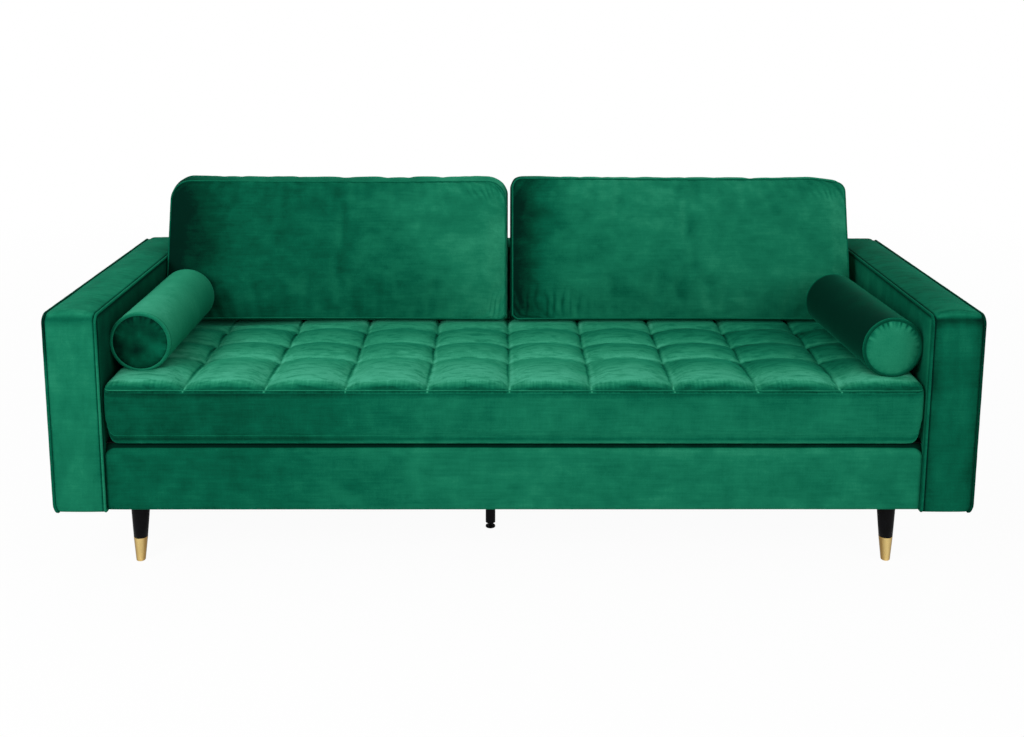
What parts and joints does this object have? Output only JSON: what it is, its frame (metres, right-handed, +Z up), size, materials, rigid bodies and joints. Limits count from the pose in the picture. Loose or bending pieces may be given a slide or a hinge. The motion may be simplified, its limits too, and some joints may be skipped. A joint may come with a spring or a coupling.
{
  "type": "sofa",
  "caption": "Velvet box sofa on tapered brass-tipped legs, with a grid-tufted bench cushion, two loose leaning back cushions and round bolsters along its arms.",
  "frame": {"origin": "on the floor, under the middle of the sofa's bounding box", "axes": "+X to the right seen from the front, -Y out of the front, +Z up"},
  "size_m": [2.25, 0.87, 0.8751],
  "materials": {
    "velvet": "emerald green velvet with a soft nap",
    "frame_wood": "raw hardwood and plywood",
    "leg_lacquer": "black satin lacquer",
    "brass": "polished",
    "black_steel": "black satin",
    "black_plastic": "matt",
    "webbing": "woven elastic webbing",
    "black_lining": "black non-woven lining"
  },
  "bodies": {
    "frame": {"base_front_rail": "frame_wood", "base_rear_rail": "frame_wood", "base_side_rail_left": "frame_wood", "base_side_rail_right": "frame_wood", "base_centre_rail": "frame_wood", "corner_block_front_left": "frame_wood", "corner_block_front_right": "frame_wood", "corner_block_rear_left": "frame_wood", "corner_block_rear_right": "frame_wood", "base_front_panel": "velvet", "seat_strap_1": "webbing", "seat_strap_2": "webbing", "seat_strap_3": "webbing", "seat_strap_4": "webbing", "seat_strap_5": "webbing", "seat_strap_6": "webbing", "seat_strap_7": "webbing", "seat_strap_8": "webbing", "seat_strap_9": "webbing", "seat_strap_10": "webbing", "deck_cloth": "black_lining", "dust_cover": "black_lining", "back_top_rail": "frame_wood", "back_post_left": "frame_wood", "back_post_centre": "frame_wood", "back_post_right": "frame_wood", "back_inner_panel": "velvet", "back_top_panel": "velvet", "back_outer_panel": "velvet", "arm_frame_left": "frame_wood", "arm_inner_panel_left": "velvet", "arm_outer_panel_left": "velvet", "arm_front_panel_left": "velvet", "arm_top_panel_left": "velvet", "arm_frame_right": "frame_wood", "arm_inner_panel_right": "velvet", "arm_outer_panel_right": "velvet", "arm_front_panel_right": "velvet", "arm_top_panel_right": "velvet", "leg_front_left": "leg_lacquer", "leg_front_right": "leg_lacquer", "leg_rear_left": "leg_lacquer", "leg_rear_right": "leg_lacquer", "ferrule_front_left": "brass", "ferrule_front_right": "brass", "ferrule_rear_left": "brass", "ferrule_rear_right": "brass", "leg_plate_front_left": "black_steel", "leg_plate_front_right": "black_steel", "leg_plate_rear_left": "black_steel", "leg_plate_rear_right": "black_steel", "centre_leg_tube": "black_steel", "centre_leg_nut": "black_plastic"},
    "centre_leg_glide": {"centre_leg_glide": "black_steel"},
    "seat_cushion": {"seat_cushion": "velvet"},
    "back_cushion_left": {"back_cushion_left": "velvet"},
    "back_cushion_right": {"back_cushion_right": "velvet"},
    "bolster_left": {"bolster_left": "velvet"},
    "bolster_right": {"bolster_right": "velvet"}
  },
  "joints": [
    {"name": "seat_cushion_lift", "type": "slide", "parent": "frame", "child": "seat_cushion", "axis": [0, 0, 1], "range_m": [0, 0.25]},
    {"name": "back_cushion_left_lift", "type": "slide", "parent": "seat_cushion", "child": "back_cushion_left", "axis": [0, 0, 1], "range_m": [0, 0.3]},
    {"name": "back_cushion_right_lift", "type": "slide", "parent": "seat_cushion", "child": "back_cushion_right", "axis": [0, 0, 1], "range_m": [0, 0.3]},
    {"name": "bolster_left_lift", "type": "slide", "parent": "seat_cushion", "child": "bolster_left", "axis": [0, 0, 1], "range_m": [0, 0.25]},
    {"name": "bolster_right_lift", "type": "slide", "parent": "seat_cushion", "child": "bolster_right", "axis": [0, 0, 1], "range_m": [0, 0.25]},
    {"name": "centre_leg_adjust", "type": "slide", "parent": "frame", "child": "centre_leg_glide", "axis": [0, 0, 1], "range_m": [-0.012, 0.007]}
  ]
}
